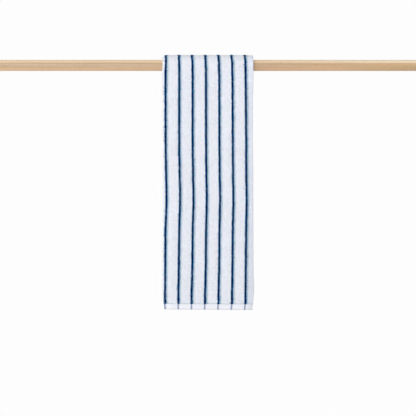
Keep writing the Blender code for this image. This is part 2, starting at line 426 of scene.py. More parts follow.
def halfThickness(across, along, looped):
    # of one side of the cloth, at a point of its grid
    fromEdge = np.minimum(across, cloth["width"] - across)
    stripe = np.round((across - stripeMargin) / cloth["stripePitch"])
    off = np.abs(across - stripeMargin - stripe * cloth["stripePitch"]) / (cloth["stripeWidth"] / 2)
    thick = cloth["pileThickness"] / 2 + cloth["stripeRise"] * np.clip(1 - off, 0, 1)
    if looped:
        thick = thick + (cloth["loopedGround"] - thick) * onFace(across, along)
    step = cloth["stepWidth"] / 2
    thick = np.where(fromEdge < cloth["selvedge"] + step, cloth["selvedgeThickness"] / 2, thick)
    # the groove is the one line of the grid that lies under the stitches
    offStitches = np.abs(fromHem(along) - cloth["hem"] + hemStitch["belowPile"])
    inGroove = offStitches < hemStitch["grooveReach"] / 2
    hem = cloth["hemThickness"] / 2 - hemStitch["groove"] * inGroove
    thick = np.where(fromHem(along) < cloth["hem"] - step, hem, thick)
    rounding = np.minimum(fromHem(along), fromEdge) / cloth["roundEdge"]
    return thick * np.sqrt(1 - (1 - np.clip(rounding, cloth["rimStart"], 1)) ** 2)


acrossLines, alongLines = linesAcross(), linesAlong()
gridPlace = acrossLines[None, :], alongLines[:, None]
middleGrid = hangCloth(*gridPlace)
acrossWay = np.gradient(middleGrid, acrossLines, axis=1)
alongWay = np.gradient(middleGrid, alongLines, axis=0)
outwards = np.cross(acrossWay, alongWay)
outwards /= np.linalg.norm(outwards, axis=2, keepdims=True)
faceGrid = middleGrid + outwards * halfThickness(*gridPlace, True)[:, :, None]
backGrid = middleGrid - outwards * halfThickness(*gridPlace, False)[:, :, None]


def closedSheet():
    # both sides of the grid and the rim between them
    rows, columns = faceGrid.shape[:2]
    number = np.arange(rows * columns).reshape(rows, columns)
    corners = number[:-1, :-1], number[:-1, 1:], number[1:, 1:], number[1:, :-1]
    faceQuads = np.stack(corners, -1).reshape(-1, 4)
    backQuads = faceQuads[:, ::-1] + rows * columns
    rim = np.concatenate([number[0, :], number[1:, -1], number[-1, -2::-1], number[-2:0:-1, 0]])
    after = np.roll(rim, -1)
    rimQuads = np.stack([rim, rim + rows * columns, after + rows * columns, after], -1)
    points = np.concatenate([faceGrid.reshape(-1, 3), backGrid.reshape(-1, 3)])
    place = np.stack(np.broadcast_arrays(*gridPlace), -1).reshape(-1, 2)
    return points, np.concatenate([faceQuads, backQuads, rimQuads]), np.concatenate([place, place])


# Cotton terry. Its yarn is soft and matt, and scatters light so deep that it hardly shades

terry = {
    "white": "#F2F4FA",
    "blue": "#00225E",
    "paleBlue": "#009ADA",
    "blendAndShadow": "#C2D6E2",  # right of a stripe: blue fibres of loops that lean into the white ones, and painted shadow of the raised stripe
    "blendAndShadowStart": 1.0,  # how far from the stripe's edge the blend and painted shadow begin to fade, and where they end
    "blendAndShadowEnd": 6.5,
    "groundStripe": 0.97,  # under the loops the stripe in the ground is this share of its width
    "stripeWander": 0.6,
    "wanderLength": 11.0,
    "edgeSoftness": 0.4,
    "beadLength": 4.5,  # a stripe's edges are beaded, because the loops lean to and fro
    "beadRise": 0.9,
    "beadSpread": (0.25, 0.75),  # of the noise, from the least to the most
    "paleEdge": 1.0,  # a stripe is paler this near its edges
    "paleEdgeShare": 0.8,
    "hemWhite": "#E6E7EE",
    "hemLine": "#8997B4",
    "hemLineShift": 1.1,  # to the left of the stripe above it
    "hemLineLeft": 1.8,  # how far the line reaches left of its middle, where its edge is sharp
    "hemLineCore": 0.6,  # and right, where it begins to fade and where it ends
    "hemLineRight": 4.6,
    "hemFold": 2.6,  # painted shade: the lower fold of the hem is a little greyer
    "hemFoldSoftness": 0.6,
    "hemFoldShade": 0.17,
    # painted shade over the left and the right fold of the face
    "leftFoldReach": 3.0,
    "leftFoldShade": 0.06,
    "rightFoldReach": 12.0,
    "rightFoldShade": 0.055,
    "rightFoldShadedWhite": "#F0F4FE",  # painted shade: the white is a little cooler there
    "cloudSize": (22.0, 30.0, 1.0),  # across, along and through the cloth
    "cloudSpread": (0.3, 0.7),  # of the noise, from the darkest to the brightest
    "cloudTones": (0.9585, 0.9665),  # of the yarn's colour, in the darkest and the brightest clouds
    "roughness": 0.95,
    "groundSpecular": 0.05,
    "loopSpecular": 0.03,
    "sheen": 0.08,
    "sheenRoughness": 0.6,
    "bump": 1.2,
    "bumpStrength": 0.6,
    "loopPitch": 2.0,  # as coarse as the loops that are modelled
    "loopRoundness": 0.6,
    "weavePitch": 0.8,  # real threads lie about 0.5 mm apart, too fine to show
    "weaveDepth": 0.12,
}


def placeOnCloth(tree):
    # millimetres across and along the flat cloth
    uv = addNode(tree, "UVMap", uv_map="cloth")
    return addNode(tree, "Mapping", {"Vector": uv, "Scale": (cloth["width"], pathLength, 1.0)})


def offStripe(tree, place, shift, stray):
    # signed distance in millimetres from the middle of the nearest stripe, which wanders by stray
    size = cloth["stripePitch"], terry["wanderLength"], 1.0
    slow = unevenness(tree, place, size, {"Detail": 2.0, "Roughness": 0.6})
    sway = addNode(tree, "Math", {0: slow, 1: 2 * stray, 2: -stray}, operation="MULTIPLY_ADD")
    across = addNode(tree, "SeparateXYZ", {0: place}).outputs["X"]
    moved = addNode(tree, "Math", {0: across, 1: sway}, operation="ADD")
    centred = addNode(tree, "Math", {0: moved, 1: stripeMargin + shift}, operation="SUBTRACT")
    half = cloth["stripePitch"] / 2
    return addNode(tree, "Math", {0: centred, 1: half, 2: -half}, operation="WRAP")


def mottled(tree, place, colour, brightness=None):
    # slow cloudiness of a washed towel, over a few centimetres, and where given a brightness: each loop's
    # own tone, with painted light and shade
    clouds = unevenness(tree, place, terry["cloudSize"], {"Detail": 4.0, "Roughness": 0.65})
    low, high = terry["cloudSpread"]
    dark, bright = terry["cloudTones"]
    value = addNode(tree, "MapRange", {0: clouds, 1: low, 2: high, 3: dark, 4: bright})
    if brightness:
        value = addNode(tree, "Math", {0: value, 1: brightness}, operation="MULTIPLY")
    return addNode(tree, "HueSaturation", {"Value": value, "Color": colour})


def stripedPile(tree, place, brightness):
    # white and blue, with beaded and paler edges to the stripes, and right of each a blend of blue fibres
    # with painted shadow
    off = offStripe(tree, place, 0.0, terry["stripeWander"])
    distance = addNode(tree, "Math", {0: off}, operation="ABSOLUTE")
    half = cloth["stripeWidth"] / 2
    looped = addNode(tree, "Attribute", attribute_name="looped").outputs["Fac"]
    halfStripe = addNode(tree, "MapRange", {0: looped, 3: half, 4: half * terry["groundStripe"]})
    size = cloth["stripePitch"], terry["beadLength"], 1.0
    beads = unevenness(tree, place, size, {"Detail": 1.0, "Roughness": 0.5})
    (low, high), rise = terry["beadSpread"], terry["beadRise"]
    beads = addNode(tree, "MapRange", {0: beads, 1: low, 2: high, 3: -rise, 4: rise})
    beaded = addNode(tree, "Math", {0: halfStripe, 1: beads}, operation="ADD")
    inside = addNode(tree, "Math", {0: beaded, 1: distance}, operation="SUBTRACT")
    soft = terry["edgeSoftness"]
    inStripe = addNode(tree, "MapRange", {0: inside, 1: -soft, 2: soft}, **smooth)
    blendAndShadowEnd, blendAndShadowStart = half + terry["blendAndShadowEnd"], half + terry["blendAndShadowStart"]
    besideIt = addNode(tree, "MapRange", {0: off, 1: blendAndShadowEnd, 2: blendAndShadowStart}, **smooth)
    rightOfIt = addNode(tree, "Math", {0: off, 1: 0.0}, operation="GREATER_THAN")
    blendAndShadowShare = addNode(tree, "Math", {0: besideIt, 1: rightOfIt}, operation="MULTIPLY")
    # the right fold's cooler white is painted shade
    fold = addNode(tree, "Attribute", attribute_name="rightFold").outputs["Fac"]
    cool = terry["rightFoldShadedWhite"]
    white = addNode(tree, "Mix", {0: fold, 6: terry["white"], 7: cool}, data_type="RGBA")
    white = addNode(tree, "Mix", {0: blendAndShadowShare, 6: white, 7: terry["blendAndShadow"]}, data_type="RGBA")
    pale, most = terry["paleEdge"], terry["paleEdgeShare"]
    nearEdge = addNode(tree, "MapRange", {0: inside, 1: pale, 2: 0.0, 4: most})
    blue = addNode(tree, "Mix", {0: nearEdge, 6: terry["blue"], 7: terry["paleBlue"]}, data_type="RGBA")
    white = mottled(tree, place, white, brightness)
    return addNode(tree, "Mix", {0: inStripe, 6: white, 7: blue}, data_type="RGBA")


def flatHem(tree, place, brightness, fromMiddle):
    # the stripes go on into the hems only as pale lines, and painted shade makes the fold at their lower
    # edge greyer
    off = offStripe(tree, place, -terry["hemLineShift"], 0.0)
    left, soft = -terry["hemLineLeft"], terry["edgeSoftness"]
    leftEnd = addNode(tree, "MapRange", {0: off, 1: left - soft, 2: left + soft}, **smooth)
    right, core = terry["hemLineRight"], terry["hemLineCore"]
    rightEnd = addNode(tree, "MapRange", {0: off, 1: right, 2: core}, **smooth)
    inLine = addNode(tree, "Math", {0: leftEnd, 1: rightEnd}, operation="MULTIPLY")
    white, line = terry["hemWhite"], terry["hemLine"]
    colour = addNode(tree, "Mix", {0: inLine, 6: white, 7: line}, data_type="RGBA")
    foldAt, soft = pathLength / 2 - terry["hemFold"], terry["hemFoldSoftness"]
    paintedHemShade = addNode(tree, "MapRange", {
        0: fromMiddle, 1: foldAt - soft, 2: foldAt + soft, 3: 1.0, 4: 1 - terry["hemFoldShade"],
    }, **smooth)
    # the folds' painted shade, twice over on the hem
    paintedFoldShadeSquared = addNode(tree, "Math", {0: brightness, 1: 2.0}, operation="POWER")
    paintedHemShade = addNode(tree, "Math", {0: paintedHemShade, 1: paintedFoldShadeSquared}, operation="MULTIPLY")
    return addNode(tree, "HueSaturation", {"Value": paintedHemShade, "Color": colour})


def terryGround():
    # woven cotton ground and flat hems, with the pile's own grain as bump where no loops are modelled
    material, tree, shader = newMaterial("cotton terry ground")
    place = placeOnCloth(tree)
    axes = addNode(tree, "SeparateXYZ", {0: place}).outputs
    # painted shade over the folds
    brightness = addNode(tree, "Attribute", attribute_name="paintedFoldShade").outputs["Fac"]
    fromMiddle = addNode(tree, "Math", {0: axes["Y"], 1: pathLength / 2}, operation="SUBTRACT")
    fromMiddle = addNode(tree, "Math", {0: fromMiddle}, operation="ABSOLUTE")
    hemStart = pathLength / 2 - cloth["hem"] + cloth["stepWidth"] / 2
    inHem = addNode(tree, "Math", {0: fromMiddle, 1: hemStart}, operation="GREATER_THAN")
    striped, hem = stripedPile(tree, place, brightness), flatHem(tree, place, brightness, fromMiddle)
    colour = addNode(tree, "Mix", {0: inHem, 6: striped, 7: hem}, data_type="RGBA")

    # loops as bump, and in the hems a plain weave
    looks = {"Scale": 1 / terry["loopPitch"], "Smoothness": terry["loopRoundness"]}
    grain = addNode(tree, "TexVoronoi", {"Vector": place, **looks}, feature="SMOOTH_F1")
    turns = math.tau / (2 * terry["weavePitch"])
    threads = []
    for axis in ("X", "Y"):
        angle = addNode(tree, "Math", {0: axes[axis], 1: turns}, operation="MULTIPLY")
        threads.append(addNode(tree, "Math", {0: angle}, operation="SINE"))
    weave = addNode(tree, "Math", {0: threads[0], 1: threads[1]}, operation="MULTIPLY")
    weave = addNode(tree, "Math", {0: weave, 1: terry["weaveDepth"]}, operation="MULTIPLY")
    relief = addNode(tree, "Mix", {0: inHem, 2: grain, 3: weave}, data_type="FLOAT")
    strength, depth = terry["bumpStrength"], terry["bump"] * mm
    bump = addNode(tree, "Bump", {"Strength": strength, "Distance": depth, "Height": relief}, invert=True)
    connect(tree, shader, {
        "Base Color": colour,
        "Normal": bump,
        "Roughness": terry["roughness"],
        "Specular IOR Level": terry["groundSpecular"],
        "Sheen Weight": terry["sheen"],
        "Sheen Roughness": terry["sheenRoughness"],
    })
    return material


sheetPoints, sheetFaces, sheetPlace = closedSheet()
onOuterSide = np.arange(len(sheetPlace)) < len(sheetPlace) / 2
towel = pieceFromArrays("towel_cloth", sheetPoints, sheetFaces, sheetPlace, terryGround(), {
    "looped": onFace(*sheetPlace.T) * onOuterSide,
    "paintedFoldShade": paintedFoldShade(*sheetPlace.T),
    "rightFold": onRightFold(*sheetPlace.T),
})
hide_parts("towel")


# The pile: loops of soft yarn, each a small arch with its feet in the ground cloth. Real ones stand
# about 1.5 mm apart, and these a little wider, which still shows as close terry from a step away.

pile = {
    "jitter": 0.42,  # how far a loop may stand from its place on an even grid, as a share of the pitch
    "leftStart": 0.9,  # from the left fold's start on the cloth, as a share of its radius
    "rightEnd": 2.2,  # past the face's end, as a share of the right fold's radius
    "archMargin": 12.0,  # the pieces over the rod reach this far down both panels
    "shoulder": 0.3,  # of a loop's span, from its middle to where it turns down
    "leanUp": -0.1,
    "loose": 0.3,
    "root": 0.3,
    "yarnSpread": (0.85, 1.15),  # the loops' thickness and height differ by this much
    "tipSpread": (0.86, 1.08),
    "corner": (0.87, 0.5),  # of the yarn's three sides: how far out to the side, and down
    "lastLoops": 2.8,  # painted shade: the last loops above the hem's seam are painted a little darker, as the dark line where the pile steps down
    "paintedPileEndShade": 0.8,
    "blendAndShadowSpread": (0.6, 1.4),
    # a stripe's edges wander: lengths and heights
    "wander": ((47.0, 0.3), (19.0, 0.35), (9.3, 0.45), (6.7, 0.65)),
    "waveSeed": 50,
    "waveDrift": 3.0,  # the angle by which each wave shifts to and fro, so that none is even
    "driftLength": 61.0,
}
whiteLoops = {
    "pitch": 2.25,
    "backPitch": 2.9,
    "tip": 1.3,  # above the ground
    "yarn": 1.7,
    "span": 2.7,
    "turn": 75.0,
    "leanRight": 0.0,
    "uneven": 0.12,  # by how much a loop may be lighter or darker than the next
    "paintedLightReach": 5.0,  # painted light: this far left of a stripe the loops are painted brighter, by up to the share below
    "paintedLightShare": 0.09,
}
blueLoops = {
    "pitch": 1.65,
    "backPitch": 2.2,
    "tip": 1.75,
    "yarn": 1.4,
    "span": 2.1,
    "turn": 60.0,
    "leanRight": 0.2,
    "uneven": 0.35,
    "strayReach": 4.0,  # how far right of a stripe its stray loops lie
    "strayShare": 0.06,
    "halfWidth": 3.25,
    "leastHalfWidth": 2.6,
    # of its half width: lengths and heights
    "widthWaves": ((90.0, 0.2), (14.0, 0.2), (11.0, 0.2), (8.4, 0.8), (6.2, 1.4)),
    "widthShift": 410.0,  # along, so that the stripe's waves don't fall together
    # where a stripe is paler: lengths and shares
    "paleWaves": ((31.0, 0.06), (13.0, 0.08), (7.1, 0.15)),
    "paleShift": 170.0,
    "pale": 0.01,
    "paleLeft": (0.6, 1.0),  # the outer loops are paler: from what share of the half width, and how much
    "paleRight": (0.35, 1.0),
}
loopTriangles = np.array([
    (0, 1, 2), (0, 2, 3), (0, 3, 1),
    (1, 4, 5), (1, 5, 2), (2, 5, 6), (2, 6, 3), (3, 6, 4), (3, 4, 1),
    (7, 5, 4), (7, 6, 5), (7, 4, 6),
])


def gridStep(at, lines):
    # the number of the grid line before each place, and its share of the way to the next line
    step = np.interp(at, lines, np.arange(len(lines)))
    before = np.minimum(step.astype(int), len(lines) - 2)
    return before, (step - before)[:, None]


def onGround(across, along):
    # places on the ground cloth's face, and there the ways across, along and out
    left, right = gridStep(across, acrossLines)
    low, up = gridStep(along, alongLines)

    def read(grid):
        lower = grid[low, left] * (1 - right) + grid[low, left + 1] * right
        upper = grid[low + 1, left] * (1 - right) + grid[low + 1, left + 1] * right
        return lower * (1 - up) + upper * up

    outWay, rightWay = read(outwards), read(acrossWay)
    outWay /= np.linalg.norm(outWay, axis=1, keepdims=True)
    rightWay /= np.linalg.norm(rightWay, axis=1, keepdims=True)
    return read(faceGrid), rightWay, np.cross(outWay, rightWay), outWay


def scattered(chance, pitch, start, end):
    # places on a loose grid over the face and both folds, between two distances along
    folds, pastFace = foldsAt(np.array(rowKnots)), rightRadius * pile["rightEnd"]
    across, along = np.meshgrid(
        np.arange(folds.leftStart.min(), folds.faceEnd.max() + pastFace, pitch),
        np.arange(start, end, pitch),
    )
    across = across + (np.arange(len(along)) % 2)[:, None] * pitch / 2
    across = across + chance.uniform(-pile["jitter"], pile["jitter"], across.shape) * pitch
    along = along + chance.uniform(-pile["jitter"], pile["jitter"], along.shape) * pitch
    folds = foldsAt(along)
    looped = across > folds.leftStart + leftRadius * pile["leftStart"]
    looped &= across < folds.faceEnd + pastFace
    return across[looped], along[looped]


def wavesAlong(waves, stripe, along):
    # a slow uneven wave along each stripe, from waves of several lengths
    chance = np.random.default_rng(pile["waveSeed"])
    total = 0 * along
    for length, height in waves:
        phase = chance.uniform(0, math.tau, cloth["stripeCount"])[stripe]
        drift = pile["waveDrift"] * np.sin(along / pile["driftLength"] + phase)
        total = total + height * np.sin(along * math.tau / length + phase + drift)
    return total


def nearestStripe(across, along):
    # the nearest stripe's number, the distance right of its middle, and its half width there
    stripe = np.round((across - stripeMargin) / cloth["stripePitch"]).astype(int)
    off = across - stripeMargin - stripe * cloth["stripePitch"]
    off = off + wavesAlong(pile["wander"], stripe, along)
    waves = wavesAlong(blueLoops["widthWaves"], stripe, along + blueLoops["widthShift"])
    return stripe, off, np.maximum(blueLoops["halfWidth"] + waves, blueLoops["leastHalfWidth"])


def archedLoops(chance, look, across, along):
    # each loop is three-sided yarn: a foot, two rings of three points at its shoulders, and a foot
    ground, rightWay, upWay, outWay = onGround(across, along)
    count = (len(across), 1)
    turn = np.radians(chance.uniform(-look["turn"], look["turn"], count))
    run = upWay * np.cos(turn) + rightWay * np.sin(turn)
    side = np.cross(outWay, run)
    radius = look["yarn"] / 2 * chance.uniform(*pile["yarnSpread"], count)
    tip = look["tip"] * chance.uniform(*pile["tipSpread"], count)
    lean = rightWay * chance.normal(look["leanRight"], pile["loose"], count)
    lean = lean + upWay * chance.normal(pile["leanUp"], pile["loose"], count)
    foot = run * look["span"] / 2
    aside, down = pile["corner"]
    points = [ground - foot - outWay * pile["root"]]
    for way in (-pile["shoulder"], pile["shoulder"]):
        middle = ground + run * way * look["span"] + outWay * (tip - radius) + lean
        points.append(middle + outWay * radius)
        points.append(middle + (side * aside - outWay * down) * radius)
        points.append(middle - (side * aside + outWay * down) * radius)
    points.append(ground + foot - outWay * pile["root"])
    points = np.stack(points, 1)
    offsets = points - ground[:, None, :]
    place = np.stack([
        across[:, None] + (offsets * rightWay[:, None, :]).sum(2),
        along[:, None] + (offsets * upWay[:, None, :]).sum(2),
    ], -1)
    return points, place


def copiedFaces(triangles, points):
    # the triangles of one small shape, repeated for each row of points
    first = np.arange(len(points))[:, None, None] * points.shape[1]
    return (triangles[None] + first).reshape(-1, 3)


def loopPiece(name, chance, look, material, across, along, shade, paintedLight=1.0):
    points, place = archedLoops(chance, look, across, along)
    faces, each = copiedFaces(loopTriangles, points), points.shape[1]
    brightness = 1 + chance.uniform(-look["uneven"], look["uneven"], len(points))
    return pieceFromArrays(name, points.reshape(-1, 3), faces, place.reshape(-1, 2), material, {
        "yarnShade": np.repeat(shade, each),
        "yarnToneAndPaintedLight": np.repeat(brightness * paintedLight * paintedFoldShade(across, along), each),
        "rightFold": np.repeat(onRightFold(across, along), each),
    })


def loopMaterial(name, *colours):
    # loops of soft twisted cotton: quite matt, and each a little lighter or darker than the next, with
    # painted light and shade in their colour
    material, tree, shader = newMaterial(name)
    plain, onFold, blendAndShadow = (terry[colour] for colour in colours)
    # the right fold's cooler white is painted shade
    fold = addNode(tree, "Attribute", attribute_name="rightFold").outputs["Fac"]
    yarn = addNode(tree, "Mix", {0: fold, 6: plain, 7: onFold}, data_type="RGBA")
    # yarnShade leads to the third colour: for the white loops blue fibres with painted shadow, and
    # painted shade above the hems; for the navy loops their paler edges
    shade = addNode(tree, "Attribute", attribute_name="yarnShade").outputs["Fac"]
    mixed = addNode(tree, "Mix", {0: shade, 6: yarn, 7: blendAndShadow}, data_type="RGBA")
    brightness = addNode(tree, "Attribute", attribute_name="yarnToneAndPaintedLight").outputs["Fac"]
    connect(tree, shader, {
        "Base Color": mottled(tree, placeOnCloth(tree), mixed, brightness),
        "Roughness": terry["roughness"],
        "Specular IOR Level": terry["loopSpecular"],
    })
    return material


def whitePile(section, chance, pitch, start, end, material):
    across, along = scattered(chance, pitch, start, end)
    _, off, halfStripe = nearestStripe(across, along)
    # right of a stripe the white loops take blue fibres and painted shadow
    blendAndShadowShare = (halfStripe + terry["blendAndShadowEnd"] - off) / (terry["blendAndShadowEnd"] - terry["blendAndShadowStart"])
    shade = eased(blendAndShadowShare) * (off > 0) * chance.uniform(*pile["blendAndShadowSpread"], len(off))
    # painted shade on the last loops above each hem
    shade = shade + pile["paintedPileEndShade"] * (fromHem(along) < cloth["hem"] + pile["lastLoops"])
    shade = np.clip(shade, 0, 1)
    # painted light on the white loops left of each stripe
    before = (-off - halfStripe) / whiteLoops["paintedLightReach"]
    paintedLight = 1 + whiteLoops["paintedLightShare"] * eased(1 - before) * (off < 0)
    white = np.abs(off) > halfStripe
    return loopPiece("loops_" + section, chance, whiteLoops, material,
                     across[white], along[white], shade[white], paintedLight[white])


def bluePile(section, chance, pitch, start, end, material):
    across, along = scattered(chance, pitch, start, end)
    stripe, off, halfStripe = nearestStripe(across, along)
    reach = (off - halfStripe) / blueLoops["strayReach"]
    stray = chance.uniform(0, 1, len(off)) < blueLoops["strayShare"] * (1 - reach)
    stray &= (reach > 0) & (reach < 1)
    pale = chance.uniform(0, 2 * blueLoops["pale"], len(off))
    pale = pale + wavesAlong(blueLoops["paleWaves"], stripe, along + blueLoops["paleShift"])
    for side, onSide in (("paleLeft", off < 0), ("paleRight", off > 0)):
        inner, share = blueLoops[side]
        pale = pale + onSide * share * eased((np.abs(off) / halfStripe - inner) / (1 - inner))
    shade = np.clip(pale, 0, 1)
    blue = (np.abs(off) < halfStripe) | stray
    return loopPiece("stripes_" + section, chance, blueLoops, material,
                     across[blue], along[blue], shade[blue])


whiteTerry = loopMaterial("white cotton loops", "white", "rightFoldShadedWhite", "blendAndShadow")
blueTerry = loopMaterial("navy cotton loops", "blue", "blue", "paleBlue")
pileStart = cloth["hem"] + cloth["stepWidth"]
halfWay, archMargin = archStart / 2, pile["archMargin"]
sections = {
    "front_low": ("pitch", pileStart, halfWay),
    "front_high": ("pitch", halfWay, archStart - archMargin),
    "over_rod": ("pitch", archStart - archMargin, archEnd + archMargin),
    "back": ("backPitch", archEnd + archMargin, pathLength - pileStart),
}
for number, (section, (pitch, start, end)) in enumerate(sections.items()):
    chance = np.random.default_rng(number + 1)
    whitePile(section, chance, whiteLoops[pitch], start, end, whiteTerry)
    bluePile(section, chance, blueLoops[pitch], start, end, blueTerry)


# Lockstitches along both hems, on both sides of the cloth

def hemThread():
    # hard twisted cotton thread: smoother than the loops, with a faint slanting twist
    material, tree, shader = newMaterial("white cotton thread")
    place = placeOnCloth(tree)
    looks = {"Scale": hemStitch["twistScale"], "Distortion": 1.0}
    twist = addNode(tree, "TexWave", {"Vector": place, **looks}, bands_direction="DIAGONAL")
    connect(tree, shader, {
        "Base Color": mottled(tree, place, terry["hemWhite"]),
        "Normal": addNode(tree, "Bump", {
            "Strength": hemStitch["twistStrength"],
            "Distance": hemStitch["twist"] * mm,
            "Height": twist.outputs["Fac"],
        }),
        "Roughness": hemStitch["roughness"],
    })
    return material


def stitchRow(along, grid, way):
    # one spindle of thread for each stitch, partly sunk in the cloth, and each point's place on the flat
    # cloth and in a row of a baked image
    middles = np.arange(cloth["selvedge"], cloth["width"] - hemStitch["endMargin"], hemStitch["pitch"])
    row = int(np.argmin(np.abs(alongLines - along)))
    left, share = gridStep(middles, acrossLines)
    ground = grid[row, left] * (1 - share) + grid[row, left + 1] * share
    outWay = outwards[row, left] * way
    run = acrossWay[row, left] / np.linalg.norm(acrossWay[row, left], axis=1, keepdims=True)
    side = np.cross(outWay, run)
    radius = hemStitch["thickness"] / 2
    points, places, bakePlaces = [], [], []
    for at, wide in hemStitch["rings"]:
        middle = ground + run * at * hemStitch["length"] + outWay * radius * (wide - hemStitch["sunk"])
        place = np.stack([middles + at * hemStitch["length"], np.full(len(middles), along)], 1)
        for step in range(hemStitch["sides"]):
            around = step / hemStitch["sides"]
            turn = step * math.tau / hemStitch["sides"]
            points.append(middle + (side * math.cos(turn) + outWay * math.sin(turn)) * radius * wide)
            places.append(place)
            bakePlaces.append(np.stack([place[:, 0], np.full(len(middles), around)], 1))
    return np.stack(points, 1), np.stack(places, 1), np.stack(bakePlaces, 1)


def hemStitches():
    sides, ringCount = hemStitch["sides"], len(hemStitch["rings"])
    quads = []
    for ring in range(ringCount - 1):
        for side in range(sides):
            a, b = ring * sides + side, ring * sides + (side + 1) % sides
            quads.append((a, b, b + sides, a + sides))
    quads = np.array(quads)
    firstCap = np.array([(0, side + 1, side) for side in range(1, sides - 1)])
    lastCap = (ringCount - 1) * sides + firstCap[:, ::-1]
    triangles = np.concatenate([quads[:, [0, 1, 2]], quads[:, [0, 2, 3]], firstCap, lastCap])
    rows = []
    stitchLine = cloth["hem"] - hemStitch["belowPile"]
    for along in (stitchLine, pathLength - stitchLine):
        for grid, way in ((faceGrid, 1), (backGrid, -1)):
            points, places, bakePlaces = stitchRow(along, grid, way)
            rows.append((points, places, bakePlaces + (0, len(rows))))
    points, places, bakePlaces = (np.concatenate(part) for part in zip(*rows))
    return pieceFromArrays("hem_stitches", points.reshape(-1, 3), copiedFaces(triangles, points),
                           places.reshape(-1, 2), hemThread(), bakePlace=bakePlaces.reshape(-1, 2))


stitches = hemStitches()


# The rod: round beech, sawn square, its ends eased

rod = {
    "diameter": 30.0,
    "length": 1200.0,
    "sides": 96,
    "chamfer": 1.5,
    "chamferSteps": 3,
    "sharpAngle": 35.0,  # edges that turn by more than this stay sharp
    "heart": "#BDA384",
    "early": "#C7AF91",
    "late": "#AE8C69",
    "toneSpread": (0.32, 0.68),  # of the grain's noise, from late wood to early wood
    "fleck": "#A27C5B",
    "fleckSpread": (0.62, 0.72),
    "fleckShare": 0.45,
    "warm": "#BE9672",
    "warmSpread": (0.4, 0.7),
    "warmShare": 0.55,
    "honey": "#D6B085",  # the right end is more yellow
    "honeyReach": (120.0, 600.0),  # from nothing to full, right of the middle
    "honeyShare": 0.7,
    "undersideLit": "#CCA985",  # and the underside is more orange, and lighter with painted light from below
    "undersideLitReach": (5.5, 10.0),  # from nothing to full, below the axis
    "brownEnd": "#AA9065",  # the lower half of the right end is browner
    "brownEndReach": (330.0, 600.0),  # from nothing to full, right of the middle
    "brownEndHeight": (3.0, -5.0),  # and down, from above the axis to below it
    "brownEndShare": 0.75,
    "paintedHighlight": "#EACFA9",  # painted highlight: a paler streak lies along the top, where light from above falls
    "paintedHighlightRight": "#FFF0D8",
    "paintedHighlightHeight": 7.3,  # of its edge above the axis, from where it wavers down
    "paintedHighlightWaver": 2.0,
    "paintedHighlightEdge": 2.0,
    "paintedHighlightShare": 0.9,
    "grainSize": (220.0, 2.4, 2.4),  # along the rod and across it
    "driftSize": (1000 / 3, 100 / 3, 100 / 3),  # it grows warmer about three times a metre
    "fleckSize": (100 / 11, 10 / 9, 10 / 9),  # 9 mm by 1 mm, as the flecks of beech
    "roughness": 0.42,
    "bump": 0.1,
    "bumpStrength": 0.25,
}


def beech():
    # sanded and lightly oiled beech: close grain along the rod, small flecks, a low sheen
    material, tree, shader = newMaterial("oiled beech")
    place = addNode(tree, "TexCoord").outputs["Object"]
    axes = addNode(tree, "SeparateXYZ", {0: place}).outputs
    looks = {"Detail": 5.0, "Roughness": 0.6, "Distortion": 0.3}
    grain = unevenness(tree, place, rod["grainSize"], looks, mm)
    drift = unevenness(tree, place, rod["driftSize"], {"Detail": 2.0}, mm)
    flecks = unevenness(tree, place, rod["fleckSize"], {"Detail": 1.0}, mm)
    wood = addNode(tree, "ValToRGB", {0: grain})
    ramp = wood.color_ramp.elements
    ramp.new(0.5).color = linear(rod["heart"])
    ramp[0].position, ramp[-1].position = rod["toneSpread"]
    ramp[0].color, ramp[-1].color = linear(rod["late"]), linear(rod["early"])

    # where the other colours lie, and how strong each is there
    low, high = rod["warmSpread"]
    warmth = addNode(tree, "MapRange", {0: drift, 1: low, 2: high, 4: rod["warmShare"]})
    low, high = (reach * mm for reach in rod["honeyReach"])
    toTheRight = addNode(tree, "MapRange", {0: axes["X"], 1: low, 2: high, 4: rod["honeyShare"]})
    # painted light from below on the underside
    low, high = (-reach * mm for reach in rod["undersideLitReach"])
    below = addNode(tree, "MapRange", {0: axes["Z"], 1: low, 2: high}, **smooth)
    low, high = (reach * mm for reach in rod["brownEndReach"])
    atTheEnd = addNode(tree, "MapRange", {0: axes["X"], 1: low, 2: high, 4: rod["brownEndShare"]})
    low, high = (height * mm for height in rod["brownEndHeight"])
    lowerHalf = addNode(tree, "MapRange", {0: axes["Z"], 1: low, 2: high}, **smooth)
    brown = addNode(tree, "Math", {0: atTheEnd, 1: lowerHalf}, operation="MULTIPLY")
    # the painted highlight along the top, paler to the right
    waver = rod["paintedHighlightWaver"] * mm
    wavy = addNode(tree, "Math", {0: drift, 1: waver, 2: axes["Z"]}, operation="MULTIPLY_ADD")
    edge, soft = rod["paintedHighlightHeight"] * mm, rod["paintedHighlightEdge"] * mm
    most = rod["paintedHighlightShare"]
    onTop = addNode(tree, "MapRange", {0: wavy, 1: edge - soft, 2: edge + soft, 4: most}, **smooth)
    plain, right = rod["paintedHighlight"], rod["paintedHighlightRight"]
    paintedHighlight = addNode(tree, "Mix", {0: toTheRight, 6: plain, 7: right}, data_type="RGBA")
    low, high = rod["fleckSpread"]
    inFleck = addNode(tree, "MapRange", {0: flecks, 1: low, 2: high, 4: rod["fleckShare"]})
    for share, colour in (
        (warmth, rod["warm"]),
        (toTheRight, rod["honey"]),
        (below, rod["undersideLit"]),
        (brown, rod["brownEnd"]),
        (onTop, paintedHighlight),
        (inFleck, rod["fleck"]),
    ):
        wood = addNode(tree, "Mix", {0: share, 6: wood, 7: colour}, data_type="RGBA")
    connect(tree, shader, {
        "Base Color": wood,
        "Normal": addNode(tree, "Bump", {
            "Strength": rod["bumpStrength"], "Distance": rod["bump"] * mm, "Height": grain,
        }),
        "Roughness": rod["roughness"],
    })
    return material


